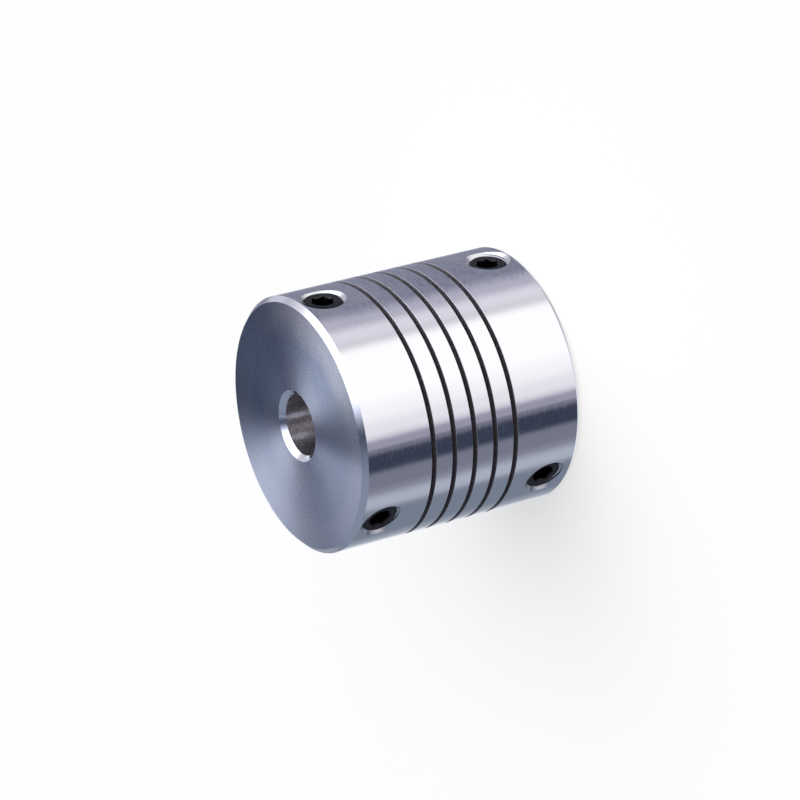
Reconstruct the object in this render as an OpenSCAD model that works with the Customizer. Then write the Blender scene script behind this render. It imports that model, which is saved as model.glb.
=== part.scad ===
// Helical beam coupling: a one-piece flexible shaft coupling turned from
// aluminium bar, with two set screws in each hub.
// The axis is +Z. The part stands on its lower end face, with the origin at
// the centre of that face. Its front is -Y, halfway between the two lines of
// set screws, and left and right are as seen from there.

/* [Body] */
// Outside diameter of the body
body_d = 25; // [20:0.5:40]
// Length of the body from end face to end face
body_l = 24; // [22:0.5:50]
// Leg of the 45 degree chamfer round both outer edges
rim_chamfer = 0.5; // [0.2:0.05:1]

/* [Bore] */
// Diameter of the shaft bore in each hub
bore_d = 6; // [4:0.5:8]
// Leg of the 45 degree chamfer at each bore mouth
bore_chamfer = 0.5; // [0.2:0.05:1]
// Depth of the relief between the two shaft bores, measured on the radius
relief_depth = 0.5; // [0.2:0.05:1]
// Length of relief past each end of the cut
relief_past_cut = 0.25; // [0.1:0.05:0.5]

/* [Helical cut] */
// Number of turns in the cut
cut_turns = 5; // [3:1:6]
// Rise of the cut in one turn, right-handed
cut_pitch = 2.25; // [1.8:0.05:2.4]
// Width of the cut along the axis
cut_w = 0.5; // [0.3:0.05:0.8]
// Angle round the axis at which the cut crosses the middle of the body
cut_phase = 253; // [200:1:340]

/* [Set screws] */
// Nominal diameter of the screw thread
screw_d = 4; // [3:0.5:5]
// Length of a set screw
screw_l = 6; // [4:0.5:8]
// Distance from an end face to the screws in that hub
screw_edge = 2.9; // [2.6:0.1:4]
// Angle between the two lines of screws
screw_spread = 120; // [90:5:180]
// Depth of the upper hub's left screw below the outside of the body
sink_top_left = 0.45; // [0.2:0.05:1]
// Depth of the upper hub's right screw below the outside of the body
sink_top_right = 0.25; // [0.2:0.05:1]
// Depth of the lower hub's left screw below the outside of the body
sink_bottom_left = 0.55; // [0.2:0.05:1]
// Depth of the lower hub's right screw below the outside of the body
sink_bottom_right = 0.4; // [0.2:0.05:1]
// Radial clearance between a screw and its hole
screw_clear = 0.05; // [0.02:0.01:0.1]
// Leg of the countersink at the mouth of a screw hole
screw_csk = 0.3; // [0.1:0.05:0.4]
// Width across the flats of the hexagon socket
socket_af = 2; // [1.5:0.1:2.2]
// Depth of the hexagon socket to where its drill point starts
socket_depth = 2; // [1:0.1:2.5]
// Leg of the chamfer round the socket end of a screw
head_chamfer = 0.2; // [0.1:0.05:0.4]
// Leg of the chamfer round the tip of a screw
tip_chamfer = 0.6; // [0.3:0.05:0.8]
// Diameter of the cup in the tip of a screw
cup_d = 2; // [1:0.1:2.2]

/* [Hidden] */

// Faces round a full turn of the body, of a screw and of the cut
body_fn = 128;
screw_fn = 48;
cut_fn = 40;
// How far a cutting shape runs past the surface that it opens
over = 1;

body_r = body_d / 2;
bore_r = bore_d / 2;
relief_r = bore_r + relief_depth;
cut_rise = cut_turns * cut_pitch;
relief_l = cut_rise + cut_w + 2 * relief_past_cut;

hole_r = screw_d / 2;
screw_r = hole_r - screw_clear;
socket_r = socket_af / 2 / cos(30);
// Heights of the two pairs of screws, and the directions of the front and of
// the two lines of screws, as angles from +X
top_z = body_l - screw_edge;
bottom_z = screw_edge;
front = 270;
left_line = front - screw_spread / 2;
right_line = front + screw_spread / 2;

// Solid of revolution of the body, cut through by the bore and its relief
module turned_blank() {
    rotate_extrude($fn = body_fn)
        polygon([
            [0, 0],
            [body_r - rim_chamfer, 0],
            [body_r, rim_chamfer],
            [body_r, body_l - rim_chamfer],
            [body_r - rim_chamfer, body_l],
            [0, body_l]
        ]);
}

// Bore with a chamfered mouth at both ends and a wider relief between the hubs
module bore_space() {
    half_l = body_l / 2;
    half_relief = relief_l / 2;
    mouth_r = bore_r + bore_chamfer;
    translate([0, 0, half_l])
        rotate_extrude($fn = body_fn)
            for (end = [-1, 1])
                polygon([
                    [0, 0],
                    [relief_r, 0],
                    [relief_r, end * half_relief],
                    [bore_r, end * (half_relief + relief_depth)],
                    [bore_r, end * (half_l - bore_chamfer)],
                    [mouth_r, end * half_l],
                    [mouth_r, end * (half_l + over)],
                    [0, end * (half_l + over)]
                ]);
}

// Stations along the cut, each an angle from its middle and a half width:
// the cut keeps its width between its ends and closes there in a half circle
cut_r = cut_w / 2;
cut_half_turn = cut_turns * 180 - cut_r / body_r * 180 / PI;
cut_steps = cut_turns * cut_fn;
end_steps = 5;
end_last = 80;
function end_station(end, t) =
    [end * (cut_half_turn + cut_r * sin(t) / body_r * 180 / PI), cut_r * cos(t)];
cut_stations = concat(
    [for (i = [end_steps:-1:1]) end_station(-1, end_last * i / end_steps)],
    [for (i = [0:cut_steps]) [cut_half_turn * (2 * i / cut_steps - 1), cut_r]],
    [for (i = [1:end_steps]) end_station(1, end_last * i / end_steps)]
);

// Corners of the cut at one station: inside and outside, lower then upper
function cut_corner(station, r, side) = [
    r * cos(cut_phase + station[0]),
    r * sin(cut_phase + station[0]),
    body_l / 2 + cut_pitch * station[0] / 360 + side * station[1]
];
function cut_ring(station) = [
    cut_corner(station, bore_r, -1),
    cut_corner(station, body_r + over, -1),
    cut_corner(station, body_r + over, 1),
    cut_corner(station, bore_r, 1)
];

// Ribbon of empty space that winds through the wall from the relief outwards
module helical_cut() {
    last = len(cut_stations) - 1;
    points = [for (s = cut_stations) each cut_ring(s)];
    walls = [
        for (i = [0:last - 1], k = [0:3])
            let (a = 4 * i + k, b = 4 * i + (k + 1) % 4)
                each [[a, b, a + 4], [b, b + 4, a + 4]]
    ];
    first_cap = [[3, 2, 1, 0]];
    last_cap = [[4 * last, 4 * last + 1, 4 * last + 2, 4 * last + 3]];
    polyhedron(points, concat(first_cap, walls, last_cap));
}

// Turns a shape that is drawn along +Z to point outwards at a screw's place
module at_screw(z, angle) {
    translate([0, 0, z])
        rotate([0, 0, angle])
            rotate([0, 90, 0])
                children();
}

// Tapped hole from the bore to the outside, with a countersunk mouth
module screw_hole() {
    cylinder(r = hole_r, h = body_r + over, $fn = screw_fn);
    translate([0, 0, body_r - screw_csk])
        cylinder(r1 = hole_r, r2 = hole_r + screw_csk + over,
                 h = screw_csk + over, $fn = screw_fn);
}

module coupling_body() {
    color("silver")
        difference() {
            turned_blank();
            bore_space();
            helical_cut();
            for (z = [bottom_z, top_z], angle = [left_line, right_line])
                at_screw(z, angle)
                    screw_hole();
        }
}

// Set screw with a hexagon socket and a cup point, drawn with its tip down
module set_screw(z, angle, sink) {
    color("dimgray")
        at_screw(z, angle)
            translate([0, 0, body_r - sink - screw_l])
                difference() {
                    screw_blank();
                    screw_socket();
                    screw_cup();
                }
}

module screw_blank() {
    rotate_extrude($fn = screw_fn)
        polygon([
            [0, 0],
            [screw_r - tip_chamfer, 0],
            [screw_r, tip_chamfer],
            [screw_r, screw_l - head_chamfer],
            [screw_r - head_chamfer, screw_l],
            [0, screw_l]
        ]);
}

// Hexagon socket that ends in a drill point
module screw_socket() {
    point_r = socket_af / 2;
    point_h = point_r / 2;
    translate([0, 0, screw_l - socket_depth])
        cylinder(r = socket_r, h = socket_depth + over, $fn = 6);
    translate([0, 0, screw_l - socket_depth - point_h])
        cylinder(r1 = 0, r2 = point_r, h = point_h, $fn = screw_fn);
}

// Cone that hollows the tip, so that only its ring bites on the shaft
module screw_cup() {
    cup_r = cup_d / 2;
    translate([0, 0, -over])
        cylinder(r1 = cup_r + over, r2 = 0, h = cup_r + over, $fn = screw_fn);
}

coupling_body();
set_screw(top_z, left_line, sink_top_left);  // set_screw_top_left
set_screw(top_z, right_line, sink_top_right);  // set_screw_top_right
set_screw(bottom_z, left_line, sink_bottom_left);  // set_screw_bottom_left
set_screw(bottom_z, right_line, sink_bottom_right);  // set_screw_bottom_right
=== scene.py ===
import math

import bpy
import numpy as np
from mathutils import Matrix, Vector


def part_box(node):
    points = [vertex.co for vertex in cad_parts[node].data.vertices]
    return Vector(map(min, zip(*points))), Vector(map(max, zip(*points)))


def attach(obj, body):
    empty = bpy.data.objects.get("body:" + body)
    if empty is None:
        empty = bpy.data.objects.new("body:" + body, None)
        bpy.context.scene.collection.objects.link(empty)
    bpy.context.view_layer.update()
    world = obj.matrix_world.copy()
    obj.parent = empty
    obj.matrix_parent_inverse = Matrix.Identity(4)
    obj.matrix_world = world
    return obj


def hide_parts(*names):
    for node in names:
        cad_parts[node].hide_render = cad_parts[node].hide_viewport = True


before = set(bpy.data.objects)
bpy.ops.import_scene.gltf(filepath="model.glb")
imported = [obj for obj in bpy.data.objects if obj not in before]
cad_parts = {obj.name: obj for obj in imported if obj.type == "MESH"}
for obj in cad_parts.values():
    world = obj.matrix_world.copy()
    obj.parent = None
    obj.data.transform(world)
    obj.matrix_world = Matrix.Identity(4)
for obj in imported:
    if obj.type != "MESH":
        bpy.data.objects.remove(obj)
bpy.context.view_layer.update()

# Coupling body
# One piece of aluminium bar, turned outside and on both end faces and bored for the shaft. A helical
# slot is then milled through the wall, so that the middle bends like a spring, and four holes are
# drilled and tapped M4.
MM = 0.001
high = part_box("coupling_body")[1]
BODY_R = high.x
BODY_L = high.z
RIM_CHAMFER = 0.5 * MM
BORE_R = 3 * MM
BORE_CHAMFER = 0.5 * MM
RELIEF_R = 3.5 * MM
RELIEF_PAST_SLOT = 0.25 * MM
SLOT_TURNS = 5
SLOT_PITCH = 2.25 * MM
SLOT_WIDTH = 0.5 * MM
SLOT_EDGE = 0.02 * MM
SLOT_PHASE = math.radians(253)
SLOT_SEGMENTS = 128
RELIEF_L = SLOT_TURNS * SLOT_PITCH + SLOT_WIDTH + 2 * RELIEF_PAST_SLOT
BODY_SEGMENTS = 512
LEFT_LINE = math.radians(210)
RIGHT_LINE = math.radians(330)
SCREW_EDGE = 2.9 * MM
TAP_R = 1.62 * MM
TAP_DEPTH = 0.38 * MM
COUNTERSINK_R = 2.3 * MM
HOLE_SEGMENTS = 48
THREAD_PITCH = 0.7 * MM
THREAD_START = 1.6 * MM
THREAD_LENGTH = 12.6 * MM
THREAD_FLANK = math.tan(math.radians(30))
THREAD_FLAT = 0.044 * MM
TAP_LEAD = 0.08 * MM
# How far a cutting shape runs past the surface that it opens
PAST = 1 * MM
# Edges that turn more than this stay sharp
SHARP_FROM = math.radians(30)


def lathe(name, profile, segments):
    """A closed mesh turned round Z from an outline of radii and heights, with the metal on its left."""
    points, ring_at = [], []
    for radius, height in profile:
        ring_at.append(len(points))
        count = segments if radius else 1
        for s in range(count):
            turn = 2 * math.pi * s / segments
            points.append((radius * math.cos(turn), radius * math.sin(turn), height))
    faces = []
    for k, (radius, height) in enumerate(profile):
        n = (k + 1) % len(profile)
        for s in range(segments if radius or profile[n][0] else 0):
            here = [ring_at[k]]
            if radius:
                here = [ring_at[k] + (s + step) % segments for step in (0, 1)]
            there = [ring_at[n]]
            if profile[n][0]:
                there = [ring_at[n] + (s + step) % segments for step in (1, 0)]
            faces.append(here + there)
    mesh = bpy.data.meshes.new(name)
    mesh.from_pydata(points, [], faces)
    piece = bpy.data.objects.new(name, mesh)
    bpy.context.scene.collection.objects.link(piece)
    return piece


def node_tree(name, inputs):
    """A Geometry Nodes tree with a geometry input and output and one named input for each size."""
    tree = bpy.data.node_groups.new(name, "GeometryNodeTree")
    tree.interface.new_socket("Geometry", in_out="INPUT", socket_type="NodeSocketGeometry")
    for label, kind in inputs.items():
        tree.interface.new_socket(label, in_out="INPUT", socket_type="NodeSocket" + kind)
    tree.interface.new_socket("Geometry", in_out="OUTPUT", socket_type="NodeSocketGeometry")
    sizes = tree.nodes.new("NodeGroupInput").outputs
    return tree, sizes, tree.nodes.new("NodeGroupOutput").inputs["Geometry"]


def join(tree, value, socket):
    """Links a socket to an input, or sets the input to a plain value."""
    if isinstance(value, bpy.types.NodeSocket):
        tree.links.new(value, socket)
    else:
        socket.default_value = value


def node(tree, kind, options=None, **values):
    """Adds a node with its options and inputs; a list links several geometries to one input."""
    made = tree.nodes.new(kind)
    for label, choice in (options or {}).items():
        setattr(made, label, choice)
    for label, value in values.items():
        for one in value if isinstance(value, list) else [value]:
            join(tree, one, made.inputs[label.replace("_", " ")])
    return made.outputs[0]


def sum_of(tree, operation, *terms):
    """One Math node on values or sockets."""
    made = tree.nodes.new("ShaderNodeMath")
    made.operation = operation
    for term, socket in zip(terms, made.inputs):
        join(tree, term, socket)
    return made.outputs[0]


def vector(tree, x=0.0, y=0.0, z=0.0):
    """A vector of values or sockets."""
    return node(tree, "ShaderNodeCombineXYZ", X=x, Y=y, Z=z)


def placed(tree, shape, z=0.0, tip=0.0, turn=0.0):
    """A shape tipped about Y, turned about Z and moved up."""
    return node(tree, "GeometryNodeTransform", Geometry=shape, Translation=vector(tree, z=z),
                Rotation=vector(tree, 0.0, tip, turn))


def drill(tree, radius, start, end, sides):
    """A cylinder along Z."""
    length = sum_of(tree, "SUBTRACT", end, start)
    bar = node(tree, "GeometryNodeMeshCylinder", Vertices=sides, Radius=radius, Depth=length)
    return placed(tree, bar, z=sum_of(tree, "MULTIPLY_ADD", length, 0.5, start))


def cone(tree, start_radius, start, end_radius, end, sides):
    """A cone or a frustum along Z."""
    shape = node(tree, "GeometryNodeMeshCone", Vertices=sides, Radius_Bottom=start_radius,
                 Radius_Top=end_radius, Depth=sum_of(tree, "SUBTRACT", end, start))
    return placed(tree, shape, z=start)


def helical_groove(tree, radius, top, top_half, floor, floor_half, turns, rise, steps):
    """A ribbon of space along a right-handed helix of the given radius. Top and floor are the depths
    below that radius at which it starts and ends, each with its half width along the axis."""
    def corner(depth, half_width, side):
        return vector(tree, sum_of(tree, "MULTIPLY", depth, -1.0),
                      sum_of(tree, "MULTIPLY", half_width, side))

    section = node(tree, "GeometryNodeCurvePrimitiveQuadrilateral", {"mode": "POINTS"},
                   Point_1=corner(top, top_half, -1.0), Point_2=corner(top, top_half, 1.0),
                   Point_3=corner(floor, floor_half, 1.0), Point_4=corner(floor, floor_half, -1.0))
    path = node(tree, "GeometryNodeCurveSpiral", Resolution=steps, Rotations=turns, Start_Radius=radius,
                End_Radius=radius, Height=rise, Reverse=True)
    path = node(tree, "GeometryNodeSetCurveNormal", {"mode": "Z_UP"}, Curve=path)
    return node(tree, "GeometryNodeCurveToMesh", Curve=path, Profile_Curve=section, Fill_Caps=True)


def boolean(tree, operation, first, others):
    """Joins shapes or takes them away."""
    options = {"operation": operation, "solver": "MANIFOLD"}
    if operation == "UNION":
        return node(tree, "GeometryNodeMeshBoolean", options, Mesh_2=[first] + others)
    return node(tree, "GeometryNodeMeshBoolean", options, Mesh_1=first, Mesh_2=others)


def run_tree(piece, tree, values):
    """Runs a tree on a piece with the given inputs and keeps the result as the piece's plain mesh."""
    modifier = piece.modifiers.new(tree.name, "NODES")
    modifier.node_group = tree
    for item in tree.interface.items_tree:
        if item.in_out == "INPUT" and item.name in values:
            modifier[item.identifier] = values[item.name]
    evaluated = piece.evaluated_get(bpy.context.evaluated_depsgraph_get())
    blank = piece.data
    piece.data = bpy.data.meshes.new_from_object(evaluated)
    piece.data.name = piece.name
    piece.modifiers.remove(modifier)
    bpy.data.meshes.remove(blank)


tree, size, result = node_tree("slot_and_screw_holes", {
    "Body radius": "Float", "Body length": "Float", "Bore radius": "Float", "Turns": "Float",
    "Pitch": "Float", "Slot width": "Float", "Edge break": "Float", "Phase": "Float",
    "Left line": "Float", "Right line": "Float", "Screw edge": "Float", "Tap radius": "Float",
    "Tap depth": "Float", "Countersink radius": "Float", "Thread pitch": "Float",
    "Thread start": "Float", "Thread length": "Float", "Finish": "Material",
})
half = sum_of(tree, "MULTIPLY", size["Slot width"], 0.5)
wall = sum_of(tree, "SUBTRACT", size["Body radius"], size["Bore radius"])
end_turn = sum_of(tree, "DIVIDE", half, size["Body radius"])
half_turn = sum_of(tree, "MULTIPLY_ADD", size["Turns"], math.pi, sum_of(tree, "MULTIPLY", end_turn, -1.0))
turns = sum_of(tree, "DIVIDE", half_turn, math.pi)
rise = sum_of(tree, "MULTIPLY", turns, size["Pitch"])
first_turn = sum_of(tree, "SUBTRACT", size["Phase"], half_turn)
last_turn = sum_of(tree, "ADD", size["Phase"], half_turn)
first_z = sum_of(tree, "MULTIPLY", sum_of(tree, "SUBTRACT", size["Body length"], rise), 0.5)
last_z = sum_of(tree, "ADD", first_z, rise)
flared = sum_of(tree, "ADD", half, sum_of(tree, "ADD", size["Edge break"], PAST))
slot = helical_groove(tree, size["Body radius"], -PAST, half, wall, half, turns, rise, SLOT_SEGMENTS)
lip = helical_groove(tree, size["Body radius"], -PAST, flared, size["Edge break"], half, turns, rise,
                     SLOT_SEGMENTS)
cuts = [placed(tree, shape, z=first_z, turn=first_turn) for shape in (slot, lip)]
outside = sum_of(tree, "ADD", size["Body radius"], PAST)
lip_floor = sum_of(tree, "SUBTRACT", size["Body radius"], size["Edge break"])
plunge = drill(tree, half, size["Bore radius"], outside, HOLE_SEGMENTS)
plunge_lip = cone(tree, half, lip_floor, flared, outside, HOLE_SEGMENTS)
for turn, z in ((first_turn, first_z), (last_turn, last_z)):
    cuts += [placed(tree, shape, z=z, tip=math.pi / 2, turn=turn) for shape in (plunge, plunge_lip)]

sink_floor = sum_of(tree, "ADD", sum_of(tree, "SUBTRACT", size["Body radius"], size["Countersink radius"]),
                    size["Tap radius"])
thread_turns = sum_of(tree, "DIVIDE", size["Thread length"], size["Thread pitch"])
thread_root = sum_of(tree, "MULTIPLY", size["Tap depth"], -1.0)
thread_mouth = sum_of(tree, "MULTIPLY_ADD", sum_of(tree, "ADD", size["Tap depth"], TAP_LEAD),
                      THREAD_FLANK, THREAD_FLAT)
thread = helical_groove(tree, size["Tap radius"], thread_root, THREAD_FLAT, TAP_LEAD, thread_mouth,
                        thread_turns, size["Thread length"], HOLE_SEGMENTS)
tap_drill = drill(tree, size["Tap radius"], size["Thread start"], outside, HOLE_SEGMENTS)
countersink = cone(tree, size["Tap radius"], sink_floor,
                   sum_of(tree, "ADD", size["Countersink radius"], PAST), outside, HOLE_SEGMENTS)
hole = boolean(tree, "UNION", tap_drill, [countersink, placed(tree, thread, z=size["Thread start"])])
spacing = sum_of(tree, "MULTIPLY_ADD", size["Screw edge"], -2.0, size["Body length"])
places = node(tree, "GeometryNodeMeshLine", Count=2, Start_Location=vector(tree, z=size["Screw edge"]),
              Offset=vector(tree, z=spacing))
for line in ("Left line", "Right line"):
    row = node(tree, "GeometryNodeInstanceOnPoints", Points=places, Instance=hole,
               Rotation=vector(tree, 0.0, math.pi / 2, size[line]))
    cuts.append(node(tree, "GeometryNodeRealizeInstances", Geometry=row))

cut_body = boolean(tree, "DIFFERENCE", size["Geometry"], cuts)
cut_body = node(tree, "GeometryNodeRealizeInstances", Geometry=cut_body)
tree.links.new(node(tree, "GeometryNodeSetMaterial", Geometry=cut_body, Material=size["Finish"]), result)

body_outline = [
    (BORE_R + BORE_CHAMFER, 0),
    (BODY_R - RIM_CHAMFER, 0),
    (BODY_R, RIM_CHAMFER),
    (BODY_R, BODY_L - RIM_CHAMFER),
    (BODY_R - RIM_CHAMFER, BODY_L),
    (BORE_R + BORE_CHAMFER, BODY_L),
    (BORE_R, BODY_L - BORE_CHAMFER),
    (BORE_R, (BODY_L + RELIEF_L) / 2 + RELIEF_R - BORE_R),
    (RELIEF_R, (BODY_L + RELIEF_L) / 2),
    (RELIEF_R, (BODY_L - RELIEF_L) / 2),
    (BORE_R, (BODY_L - RELIEF_L) / 2 - RELIEF_R + BORE_R),
    (BORE_R, BORE_CHAMFER),
]


def show_true_turning(piece, outline):
    """Gives turned faces the normals of their own cylinder, cone or plane, and smooths the others.
    Returns each face's stretch of the outline, or -1 where the face isn't turned."""
    mesh = piece.data
    mesh.polygons.foreach_set("use_smooth", [True] * len(mesh.polygons))
    mesh.set_sharp_from_angle(angle=SHARP_FROM)
    points = np.empty(len(mesh.vertices) * 3)
    mesh.vertices.foreach_get("co", points)
    points = points.reshape(-1, 3)
    corners = np.empty(len(mesh.loops), int)
    mesh.loops.foreach_get("vertex_index", corners)
    starts = np.empty(len(mesh.polygons), int)
    mesh.polygons.foreach_get("loop_start", starts)
    sizes = np.empty(len(mesh.polygons), int)
    mesh.polygons.foreach_get("loop_total", sizes)
    normals = np.empty(len(mesh.loops) * 3)
    mesh.corner_normals.foreach_get("vector", normals)
    normals = normals.reshape(-1, 3)
    radius = np.hypot(points[:, 0], points[:, 1])
    radius[radius == 0] = 1
    near = 0.002 * MM
    stretch = np.full(len(mesh.polygons), -1)
    for k, ((r1, z1), (r2, z2)) in enumerate(zip(outline, outline[1:] + outline[:1])):
        length = math.hypot(r2 - r1, z2 - z1)
        out_r, out_z = (z2 - z1) / length, (r1 - r2) / length
        off = np.abs((radius - r1) * out_r + (points[:, 2] - z1) * out_z)
        on_face = np.logical_and.reduceat((off < near)[corners], starts)
        here = np.repeat(on_face, sizes)
        at = points[corners[here]]
        outwards = at[:, :2] / radius[corners[here], None]
        true = np.column_stack([outwards * out_r, np.full(len(at), out_z)])
        agree = (true * normals[here]).sum(1) > 0.9
        normals[np.flatnonzero(here)[agree]] = true[agree]
        stretch[np.repeat(np.arange(len(sizes)), sizes)[np.flatnonzero(here)[agree]]] = k
    mesh.normals_split_custom_set(normals.tolist())
    return stretch


def new_material(name):
    """A material with its node tree and the inputs of its one Principled shader."""
    finish = bpy.data.materials.new(name)
    finish.use_nodes = True
    return finish, finish.node_tree, finish.node_tree.nodes["Principled BSDF"].inputs


def apart(tree, towards):
    """The three parts of a vector."""
    made = tree.nodes.new("ShaderNodeSeparateXYZ")
    tree.links.new(towards, made.inputs[0])
    return made.outputs


def ramp(tree, value, start, end, low=0.0, high=1.0):
    """A value that goes smoothly from low to high while another goes from start to end."""
    return node(tree, "ShaderNodeMapRange", {"interpolation_type": "SMOOTHSTEP"}, Value=value,
                From_Min=start, From_Max=end, To_Min=low, To_Max=high)


def laid_over(tree, under, colour, share):
    """A colour laid over another by a share."""
    made = tree.nodes.new("ShaderNodeMix")
    made.data_type = "RGBA"
    join(tree, share, made.inputs["Factor"])
    join(tree, under, made.inputs["A"])
    join(tree, colour, made.inputs["B"])
    return made.outputs["Result"]


# Length and spacing of the turning marks, of the worn ones among them, and of the marks on the wall
# and on the end faces that carry a painted dark reflection
TURNING_MARKS = (6 * MM, 0.05 * MM)
WORN_MARKS = (0.8 * MM, 0.08 * MM)
WALL_REFLECTION_MARKS = (0.8 * MM, 0.055 * MM)
FACE_REFLECTION_MARKS = (1.6 * MM, 0.07 * MM)
# Where along X the marks with a painted dark reflection come in, on one side of the wall and of the
# end faces
WALL_REFLECTION_SIDE = (0.52 * BODY_R, 0.78 * BODY_R)
FACE_REFLECTION_SIDE = (-3 * MM, 3 * MM)
# Radii at which the ring of painted dark reflection round the bore comes in and goes out, and how
# far its edges stray
RING_INNER = (4.5 * MM, 7 * MM)
RING_OUTER = (11 * MM, 8.5 * MM)
RING_STRAY = 3 * MM
# Where along Y the painted ring opens out to the rim, and where along X it is painted darker
RING_OPENS = (-4 * MM, 4 * MM)
RING_PAINTED_DARKER = (-6 * MM, 3 * MM)
# Height counts for more than radius, so that marks still follow each other across a 45 degree chamfer
HEIGHT_SHARE = 1.37
HAZE_SCALE = 260.0
GRAIN_SCALE = 6000.0


def tool_marks(tree, place, radius, length, spacing, detail=2.0, seed=0.0):
    """Noise from 0 to 1 in fine lines that run round the axis, given by their length and spacing."""
    x, y, z = place
    round_about = [sum_of(tree, "MULTIPLY", sum_of(tree, "DIVIDE", part, radius), BODY_R / length)
                   for part in (x, y)]
    across = sum_of(tree, "DIVIDE", sum_of(tree, "MULTIPLY_ADD", z, HEIGHT_SHARE, radius), spacing)
    across = sum_of(tree, "ADD", across, seed)
    return node(tree, "ShaderNodeTexNoise", Vector=vector(tree, *round_about, across), Scale=1.0,
                Detail=detail, Roughness=0.6)


def turned_finish(name, darker, bright, roughness, depth, anisotropy, lean, haze_share, dark_reflection_share=0.0,
                  painted_ring_share=0.0):
    """Metal with fine tool marks that run round the axis and draw its reflections out across them.
    Depth is that of the marks, and lean is how far worn marks tip the surface sideways. The shares say
    how much of the bright colour the darker one covers at most: in a soft haze, in painted dark
    reflections along fine marks, and in a ring of painted dark reflection on the end faces, which then
    holds the haze and the marked reflections within it."""
    finish, tree, shader = new_material(name)
    on_object = tree.nodes.new("ShaderNodeTexCoord").outputs["Object"]
    place = apart(tree, on_object)
    x, y, z = place
    radius = sum_of(tree, "SQRT", sum_of(tree, "ADD", sum_of(tree, "MULTIPLY", x, x),
                                         sum_of(tree, "MULTIPLY", y, y)))
    marks = tool_marks(tree, place, radius, *TURNING_MARKS)
    worn = tool_marks(tree, place, radius, *WORN_MARKS, seed=90.0)
    haze = node(tree, "ShaderNodeTexNoise", Vector=on_object, Scale=HAZE_SCALE, Detail=3.0,
                Roughness=0.5)

    haze_and_painted_ring = ramp(tree, haze, 0.25, 0.75, 0.0, haze_share)
    # Painted dark reflection: fine marks on the +X side take the darker colour
    reflection_marks = WALL_REFLECTION_MARKS
    reflection_marked = ramp(tree, x, *WALL_REFLECTION_SIDE)
    # On the end faces a ring of painted dark reflection round the bore, darker towards +X and reaching the
    # rim towards +Y, holds the haze and the marks
    if painted_ring_share:
        strayed = sum_of(tree, "MULTIPLY_ADD", haze, RING_STRAY,
                         sum_of(tree, "SUBTRACT", radius, RING_STRAY / 2))
        outer = sum_of(tree, "MAXIMUM", ramp(tree, strayed, *RING_OUTER),
                       ramp(tree, y, *RING_OPENS, 0.0, 0.8))
        painted_ring = sum_of(tree, "MULTIPLY", ramp(tree, strayed, *RING_INNER, 0.7, 1.0), outer)
        painted_dark_side = ramp(tree, x, *RING_PAINTED_DARKER, 0.3, painted_ring_share)
        haze_and_painted_ring = sum_of(tree, "MULTIPLY", painted_ring, sum_of(tree, "MAXIMUM", haze_and_painted_ring, painted_dark_side))
        reflection_marks = FACE_REFLECTION_MARKS
        reflection_marked = sum_of(tree, "MULTIPLY", painted_ring, ramp(tree, x, *FACE_REFLECTION_SIDE))
    reflection_lines = ramp(tree, tool_marks(tree, place, radius, *reflection_marks, detail=1.0, seed=40.0), 0.50, 0.40)
    reflection_marked = sum_of(tree, "MULTIPLY", reflection_marked, ramp(tree, haze, 0.38, 0.50))
    reflection_marked = sum_of(tree, "MULTIPLY", sum_of(tree, "MULTIPLY", reflection_marked, reflection_lines), dark_reflection_share)
    haze_and_painted_reflection = sum_of(tree, "MAXIMUM", haze_and_painted_ring, reflection_marked)
    # The darker colour lies over the bright one as haze and as painted dark reflection
    tree.links.new(laid_over(tree, bright, darker, haze_and_painted_reflection), shader["Base Color"])
    tree.links.new(ramp(tree, worn, 0.58, 0.72, *roughness), shader["Roughness"])

    sideways = node(tree, "ShaderNodeVectorMath", {"operation": "NORMALIZE"},
                    Vector=vector(tree, sum_of(tree, "MULTIPLY", y, -1.0), x, 0.0))
    tip = ramp(tree, worn, 0.25, 0.75, -lean, lean)
    surface = tree.nodes.new("ShaderNodeNewGeometry").outputs["Normal"]
    tipped = tree.nodes.new("ShaderNodeVectorMath")
    tipped.operation = "MULTIPLY_ADD"
    for value, socket in zip((sideways, vector(tree, tip, tip, tip), surface), tipped.inputs):
        tree.links.new(value, socket)
    tree.links.new(node(tree, "ShaderNodeBump", Strength=1.0, Distance=depth, Height=marks,
                        Normal=tipped.outputs[0]), shader["Normal"])
    shader["Metallic"].default_value = 1.0
    shader["Anisotropic"].default_value = anisotropy
    shader["Anisotropic Rotation"].default_value = 0.25
    return finish


def cut_finish(name, darker, bright, roughness):
    """Metal left bare and slightly grainy by a milling cutter or a tap."""
    finish, tree, shader = new_material(name)
    on_object = tree.nodes.new("ShaderNodeTexCoord").outputs["Object"]
    grain = node(tree, "ShaderNodeTexNoise", Vector=on_object, Scale=GRAIN_SCALE, Detail=2.0,
                 Roughness=0.6)
    tree.links.new(laid_over(tree, darker, bright, ramp(tree, grain, 0.35, 0.65)), shader["Base Color"])
    tree.links.new(ramp(tree, grain, 0.3, 0.7, *roughness), shader["Roughness"])
    tree.links.new(node(tree, "ShaderNodeBump", Strength=1.0, Distance=0.001 * MM, Height=grain),
                   shader["Normal"])
    shader["Metallic"].default_value = 1.0
    return finish


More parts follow.
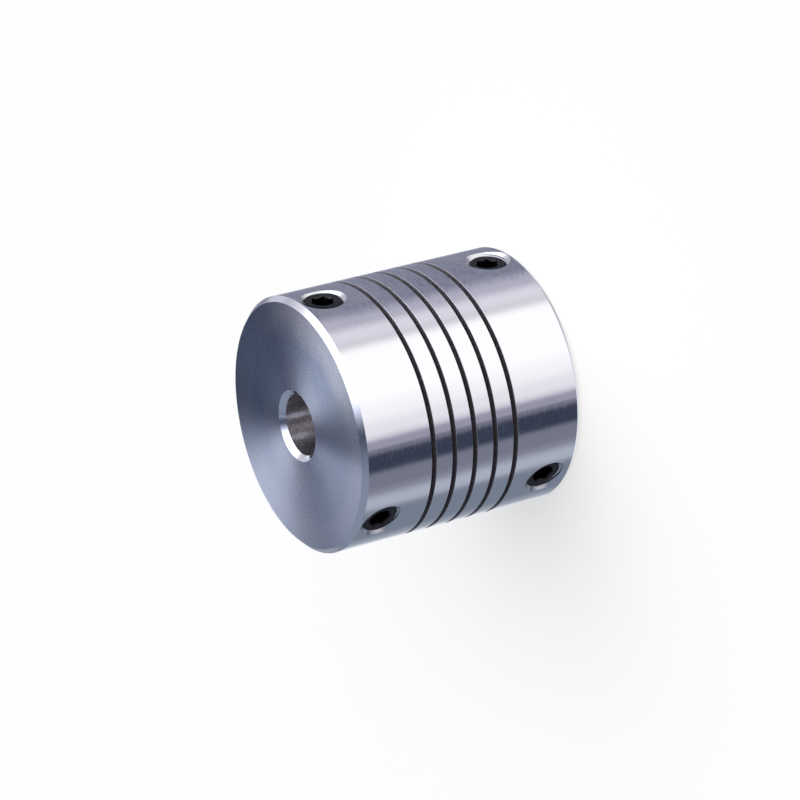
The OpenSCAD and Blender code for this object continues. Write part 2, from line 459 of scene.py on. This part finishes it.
# The bluish darker colours of the turned and faced finishes are painted dark reflections of the studio, in
# their marks and in the end-face ring
turned = turned_finish("turned_aluminium", darker=(0.40, 0.43, 0.56, 1), bright=(0.82, 0.82, 0.84, 1),
                       roughness=(0.09, 0.28), depth=0.0012 * MM, anisotropy=0.3, lean=0.003,
                       haze_share=0.02, dark_reflection_share=0.75)
faced = turned_finish("faced_aluminium", darker=(0.45, 0.54, 0.69, 1), bright=(0.97, 0.955, 0.945, 1),
                      roughness=(0.27, 0.30), depth=0.0006 * MM, anisotropy=1.0, lean=0.004,
                      haze_share=0.4, dark_reflection_share=0.85, painted_ring_share=0.58)
edge_turned = turned_finish("edge_turned_aluminium", darker=(0.66, 0.70, 0.76, 1),
                            bright=(0.82, 0.82, 0.84, 1), roughness=(0.09, 0.20), depth=0.0012 * MM,
                            anisotropy=0.3, lean=0.002, haze_share=0.1)
bored = turned_finish("bored_aluminium", darker=(0.74, 0.70, 0.70, 1), bright=(0.99, 0.95, 0.94, 1),
                      roughness=(0.18, 0.34), depth=0.005 * MM, anisotropy=0.9, lean=0.004,
                      haze_share=0.3)
tapped = cut_finish("tapped_aluminium", darker=(0.66, 0.65, 0.66, 1), bright=(0.72, 0.72, 0.74, 1),
                    roughness=(0.22, 0.28))
milled = cut_finish("milled_aluminium", darker=(0.53, 0.495, 0.495, 1), bright=(0.60, 0.565, 0.57, 1),
                    roughness=(0.42, 0.52))

body = lathe("turned_body", body_outline, BODY_SEGMENTS)
run_tree(body, tree, {
    "Body radius": BODY_R, "Body length": BODY_L, "Bore radius": BORE_R, "Turns": float(SLOT_TURNS),
    "Pitch": SLOT_PITCH, "Slot width": SLOT_WIDTH, "Edge break": SLOT_EDGE, "Phase": SLOT_PHASE,
    "Left line": LEFT_LINE, "Right line": RIGHT_LINE, "Screw edge": SCREW_EDGE, "Tap radius": TAP_R,
    "Tap depth": TAP_DEPTH, "Countersink radius": COUNTERSINK_R, "Thread pitch": THREAD_PITCH,
    "Thread start": THREAD_START, "Thread length": THREAD_LENGTH, "Finish": turned,
})

finishes = [turned, faced, edge_turned, bored, tapped, milled]
# One finish for each stretch of the outline, and one for what isn't turned
outline_finish = ([faced, edge_turned, turned, edge_turned, faced, edge_turned] + [bored] * 5
                  + [edge_turned, tapped])
stretch = show_true_turning(body, body_outline)
finish_of_face = np.array([finishes.index(finish) for finish in outline_finish])[stretch]
centres = np.empty(len(stretch) * 3)
body.data.polygons.foreach_get("center", centres)
in_slot = (stretch < 0) & (np.abs(centres[2::3] - BODY_L / 2) < RELIEF_L / 2)
finish_of_face[in_slot] = finishes.index(milled)
# A node tree leaves an empty slot before its finish, so the slots are filled afresh
body.data.materials.clear()
for finish in finishes:
    body.data.materials.append(finish)
body.data.polygons.foreach_set("material_index", finish_of_face.tolist())
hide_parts("coupling_body")
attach(body, "root")

# Set screws
# Four M4 grub screws of hardened steel with a black oxide finish, each with a cold-formed hexagon
# socket, a rolled thread and a cup point. They are screwed into the tapped holes and stop a little
# below the body's surface.
SCREW_R = 1.95 * MM
SCREW_L = 6 * MM
SCREW_THREAD = 0.43 * MM
SCREW_LEAD = 0.05 * MM
HEAD_CHAMFER = 0.2 * MM
TIP_CHAMFER = 0.6 * MM
CUP_R = 1 * MM
SOCKET_FLATS = 2 * MM
SOCKET_DEPTH = 2 * MM
SOCKET_LEAD = 0.15 * MM
SOCKET_TURN = 0.0
SCREW_SEGMENTS = 96
SCREWS = {"set_screw_top_left": LEFT_LINE, "set_screw_top_right": RIGHT_LINE,
          "set_screw_bottom_left": LEFT_LINE, "set_screw_bottom_right": RIGHT_LINE}

tree, size, result = node_tree("thread_and_socket", {
    "Radius": "Float", "Length": "Float", "Thread depth": "Float", "Thread pitch": "Float",
    "Thread start": "Float", "Across flats": "Float", "Socket depth": "Float", "Socket lead": "Float",
    "Socket turn": "Float", "Head place": "Float", "Height": "Float", "Line": "Float",
    "Finish": "Material",
})
groove_mouth = sum_of(tree, "MULTIPLY_ADD", sum_of(tree, "ADD", size["Thread depth"], SCREW_LEAD),
                      THREAD_FLANK, THREAD_FLAT)
# The thread runs two pitches past each end
threaded = sum_of(tree, "MULTIPLY_ADD", size["Thread pitch"], 4.0, size["Length"])
thread_turns = sum_of(tree, "DIVIDE", threaded, size["Thread pitch"])
groove = helical_groove(tree, size["Radius"], -SCREW_LEAD, groove_mouth, size["Thread depth"],
                        THREAD_FLAT, thread_turns, threaded, HOLE_SEGMENTS)
circle_r = sum_of(tree, "DIVIDE", size["Across flats"], 2 * math.cos(math.radians(30)))
above = sum_of(tree, "ADD", size["Length"], PAST)
socket_floor = sum_of(tree, "SUBTRACT", size["Length"], size["Socket depth"])
socket = placed(tree, drill(tree, circle_r, socket_floor, above, 6), turn=size["Socket turn"])
point_r = sum_of(tree, "MULTIPLY", size["Across flats"], 0.5)
drill_point = cone(tree, 0.0, sum_of(tree, "MULTIPLY_ADD", point_r, -0.5, socket_floor), point_r,
                   socket_floor, HOLE_SEGMENTS)
lead = cone(tree, sum_of(tree, "SUBTRACT", circle_r, size["Socket lead"]),
            sum_of(tree, "SUBTRACT", size["Length"], size["Socket lead"]),
            sum_of(tree, "ADD", circle_r, PAST), above, SCREW_SEGMENTS)
screw = boolean(tree, "DIFFERENCE", size["Geometry"], [
    placed(tree, groove, z=size["Thread start"]),
    boolean(tree, "UNION", socket, [drill_point, lead]),
])
screw = placed(tree, screw, z=sum_of(tree, "SUBTRACT", size["Head place"], size["Length"]))
screw = placed(tree, screw, z=size["Height"], tip=math.pi / 2, turn=size["Line"])
screw = node(tree, "GeometryNodeRealizeInstances", Geometry=screw)
tree.links.new(node(tree, "GeometryNodeSetMaterial", Geometry=screw, Material=size["Finish"]), result)

black_steel, steel_tree, shader = new_material("black_oxide_steel")
on_object = steel_tree.nodes.new("ShaderNodeTexCoord").outputs["Object"]
speckle = node(steel_tree, "ShaderNodeTexNoise", Vector=on_object, Scale=3000.0, Detail=4.0,
               Roughness=0.65)
steel_tree.links.new(laid_over(steel_tree, (0.014, 0.014, 0.016, 1), (0.050, 0.046, 0.048, 1),
                               ramp(steel_tree, speckle, 0.3, 0.75)), shader["Base Color"])
steel_tree.links.new(ramp(steel_tree, speckle, 0.3, 0.7, 0.22, 0.36), shader["Roughness"])
steel_tree.links.new(node(steel_tree, "ShaderNodeBump", Strength=1.0, Distance=0.01 * MM, Height=speckle),
                     shader["Normal"])
shader["Metallic"].default_value = 1.0

screw_outline = [
    (0, CUP_R),
    (CUP_R, 0),
    (SCREW_R - TIP_CHAMFER, 0),
    (SCREW_R, TIP_CHAMFER),
    (SCREW_R, SCREW_L - HEAD_CHAMFER),
    (SCREW_R - HEAD_CHAMFER, SCREW_L),
    (0, SCREW_L),
]
for name, line in SCREWS.items():
    outwards = Vector((math.cos(line), math.sin(line), 0))
    head = max(vertex.co.dot(outwards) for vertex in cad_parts[name].data.vertices)
    low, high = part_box(name)
    # Half a pitch on from the thread of the hole, so that crest meets root
    first_thread = THREAD_START + THREAD_PITCH / 2 - (head - SCREW_L)
    screw = lathe("black_" + name, screw_outline, SCREW_SEGMENTS)
    run_tree(screw, tree, {
        "Radius": SCREW_R, "Length": SCREW_L, "Thread depth": SCREW_THREAD, "Thread pitch": THREAD_PITCH,
        "Thread start": first_thread % THREAD_PITCH - 2 * THREAD_PITCH,
        "Across flats": SOCKET_FLATS, "Socket depth": SOCKET_DEPTH, "Socket lead": SOCKET_LEAD,
        "Socket turn": SOCKET_TURN, "Head place": head,
        "Height": (low.z + high.z) / 2, "Line": line, "Finish": black_steel,
    })
    screw.data.polygons.foreach_set("use_smooth", [True] * len(screw.data.polygons))
    screw.data.set_sharp_from_angle(angle=SHARP_FROM)
    screw.data.materials.clear()
    screw.data.materials.append(black_steel)
    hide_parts(name)
    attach(screw, "root")

# Floor
# A plain white studio table that the coupling stands on. It adds a glow that only the camera sees, so
# that it shows white and keeps the shadow without more light falling on the coupling.
FLOOR_SIZE = 20
FLOOR_COLOUR = (0.465, 0.435, 0.365, 1)
FLOOR_GLOW = 0.595
bpy.ops.mesh.primitive_plane_add(size=FLOOR_SIZE)
floor = bpy.context.object
floor.name = "floor"
white, white_tree, shader = new_material("white_table")
shader["Base Color"].default_value = FLOOR_COLOUR
shader["Roughness"].default_value = 0.9
shader["Specular IOR Level"].default_value = 0.0
shader["Emission Color"].default_value = (1, 1, 1, 1)
seen = white_tree.nodes.new("ShaderNodeLightPath").outputs["Is Camera Ray"]
white_tree.links.new(sum_of(white_tree, "MULTIPLY", seen, FLOOR_GLOW), shader["Emission Strength"])
floor.data.materials.append(white)
# In the photograph's view the wall mirrors only what lies below the horizon, so the floor leaves the
# studio's cards there to be mirrored, and lets their light through
floor.visible_glossy = False
floor.visible_shadow = False

# Light
# A soft studio, drawn as a world by direction: a large softbox to the right and overhead, a dim room to
# the left, and light and dark cards that stand round the coupling. One long, narrow card hangs close to
# the upper end face.
world = bpy.data.worlds.new("studio")
bpy.context.scene.world = world
world.use_nodes = True
tree = world.node_tree
x, y, z = apart(tree, tree.nodes.new("ShaderNodeTexCoord").outputs["Generated"])
bearing = sum_of(tree, "DEGREES", sum_of(tree, "ARCTAN2", y, x))
# Half the height over which a card's foot and top fade, on a sphere of radius 1
SOFT_END = 0.08


def standing_card(tree, under, centre, width, edge, colour, foot=-1.2, top=1.2):
    """A card on one side of the room. Its centre, width and soft edge are degrees round the coupling,
    and its foot and top are heights on a sphere of radius 1."""
    off = sum_of(tree, "WRAP", sum_of(tree, "SUBTRACT", bearing, float(centre)), 180.0, -180.0)
    share = ramp(tree, sum_of(tree, "ABSOLUTE", off), (width + edge) / 2, (width - edge) / 2)
    if foot > -1:
        share = sum_of(tree, "MULTIPLY", share, ramp(tree, z, foot - SOFT_END, foot + SOFT_END))
    if top < 1:
        share = sum_of(tree, "MULTIPLY", share, ramp(tree, z, top + SOFT_END, top - SOFT_END))
    return laid_over(tree, under, colour, share)


walls = (0.275, 0.285, 0.365, 1)
for centre, width, edge, colour in (
    (-157, 20, 8, (0.21, 0.22, 0.29, 1)),
    (-141, 18, 6, (0.042, 0.054, 0.088, 1)),
    (-130, 5, 1, (0.18, 0.18, 0.25, 1)),
    (-124.3, 6.4, 1, (0.355, 0.345, 0.44, 1)),
    (-127.6, 1.4, 0.4, (0.44, 0.43, 0.53, 1)),
    (-111, 20, 1.5, (0.60, 0.585, 0.69, 1)),
    (-104, 28, 8, (0.93, 0.92, 0.98, 1)),
    (-92, 24, 12, (1.10, 1.09, 1.12, 1)),
    (-62, 56, 14, (1.21, 1.21, 1.21, 1)),
    (-23, 23, 18, (0.83, 0.82, 0.90, 1)),
    (-7, 14, 15, (0.54, 0.53, 0.64, 1)),
    (178, 16, 10, (0.47, 0.51, 0.61, 1)),
    (145, 46, 14, (0.205, 0.245, 0.31, 1)),
    (112, 22, 16, (0.34, 0.37, 0.44, 1)),
):
    walls = standing_card(tree, walls, centre, width, edge, colour)
walls = standing_card(tree, walls, 93, 28, 20, (0.80, 0.84, 0.90, 1), top=-0.36)
walls = standing_card(tree, walls, 50, 22, 12, (0.68, 0.67, 0.78, 1), foot=-0.05)

SOFTBOX_LOW = (2.30, 2.38, 2.75, 1)
SOFTBOX_HIGH = (2.40, 2.58, 3.15, 1)
SOFTBOX_FAR_SIDE = (1.10, 1.07, 1.20, 1)
ROOM = (0.004, 0.010, 0.040, 1)
ROOM_LEFT = (0.25, 0.30, 0.40, 1)
BACKDROP = (0.95, 0.95, 0.95, 1)
# Where each part of the studio fades in, on a sphere of radius 1: the lit left of the room along X,
# the softbox along X and towards its front, its upper part along Z, its far side along X and Z, and
# the ceiling along Z
ROOM_LEFT_FADE = (-0.05, -0.75)
SOFTBOX_FADE = (-0.31, 0.45)
SOFTBOX_FRONT = (0.171, -0.970, -0.174)
SOFTBOX_FRONT_FADE = (-1.0, -0.06)
SOFTBOX_HIGH_FADE = (0.4, 0.75)
FAR_SIDE_FADE = (0.6, 0.75)
FAR_SIDE_DROP = (0.64, 0.42)
CEILING_FADE = (0.0, 0.28)
room = laid_over(tree, ROOM, ROOM_LEFT, ramp(tree, x, *ROOM_LEFT_FADE))
frontward = sum_of(tree, "MULTIPLY", z, SOFTBOX_FRONT[2])
frontward = sum_of(tree, "MULTIPLY_ADD", y, SOFTBOX_FRONT[1], frontward)
frontward = sum_of(tree, "ADD", sum_of(tree, "MULTIPLY", x, SOFTBOX_FRONT[0]), frontward)
in_softbox = sum_of(tree, "MULTIPLY", ramp(tree, x, *SOFTBOX_FADE),
                    ramp(tree, frontward, *SOFTBOX_FRONT_FADE))
softbox = laid_over(tree, SOFTBOX_LOW, SOFTBOX_HIGH, ramp(tree, z, *SOFTBOX_HIGH_FADE))
far_side = sum_of(tree, "MULTIPLY", ramp(tree, x, *FAR_SIDE_FADE), ramp(tree, z, *FAR_SIDE_DROP))
softbox = laid_over(tree, softbox, SOFTBOX_FAR_SIDE, far_side)
ceiling = laid_over(tree, room, softbox, in_softbox)
studio = laid_over(tree, walls, ceiling, ramp(tree, z, *CEILING_FADE))
seen = tree.nodes.new("ShaderNodeLightPath").outputs["Is Camera Ray"]
tree.links.new(laid_over(tree, studio, BACKDROP, seen), tree.nodes["Background"].inputs["Color"])

CARD_FROM = Vector((0, 0, BODY_L))
CARD_DISTANCE = 61.3 * MM
CARD_AZIMUTH = math.radians(116.8)
CARD_ELEVATION = math.radians(49)
CARD_TURN = math.radians(50.4)
CARD_SIZE = (149 * MM, 13.8 * MM)
CARD_RADIANCE = 0.26
CARD_COLOUR = (0.91, 1.0, 1.30)
card_light = bpy.data.lights.new("near_card", "AREA")
card_light.shape = "RECTANGLE"
card_light.size, card_light.size_y = CARD_SIZE
card_light.energy = CARD_RADIANCE * 4 * CARD_SIZE[0] * CARD_SIZE[1]
card_light.color = CARD_COLOUR
card = bpy.data.objects.new("near_card", card_light)
bpy.context.scene.collection.objects.link(card)
outwards = Vector((math.cos(CARD_AZIMUTH) * math.cos(CARD_ELEVATION),
                   math.sin(CARD_AZIMUTH) * math.cos(CARD_ELEVATION), math.sin(CARD_ELEVATION)))
level = Vector((-math.sin(CARD_AZIMUTH), math.cos(CARD_AZIMUTH), 0))
upward = outwards.cross(level)
along = level * math.cos(CARD_TURN) + upward * math.sin(CARD_TURN)
over = upward * math.cos(CARD_TURN) - level * math.sin(CARD_TURN)
card.matrix_world = (Matrix.Translation(CARD_FROM + outwards * CARD_DISTANCE)
                     @ Matrix((along, over, outwards)).transposed().to_4x4())
# Only reflections show the card
card.visible_camera = False
card.visible_diffuse = False

# Camera
# A long lens that looks down on the upper end face, turned so that the coupling's axis lies across the
# picture.
AIM = Vector((0, 0, 12.62 * MM))
CAMERA_AZIMUTH = math.radians(-91.59)
CAMERA_ELEVATION = math.radians(27.99)
CAMERA_DISTANCE = 387.3 * MM
CAMERA_ROLL = math.radians(-104.18)
SENSOR = 36
FOCAL = 181.78
camera_data = bpy.data.cameras.new("camera")
camera_data.sensor_width = SENSOR
camera_data.lens = FOCAL
camera = bpy.data.objects.new("camera", camera_data)
bpy.context.scene.collection.objects.link(camera)
back = Vector((math.cos(CAMERA_AZIMUTH) * math.cos(CAMERA_ELEVATION),
               math.sin(CAMERA_AZIMUTH) * math.cos(CAMERA_ELEVATION), math.sin(CAMERA_ELEVATION)))
camera.matrix_world = (Matrix.Translation(AIM + back * CAMERA_DISTANCE)
                       @ back.to_track_quat("Z", "Y").to_matrix().to_4x4()
                       @ Matrix.Rotation(CAMERA_ROLL, 4, "Z"))
bpy.context.scene.camera = camera
bpy.context.scene.view_settings.view_transform = "Standard"
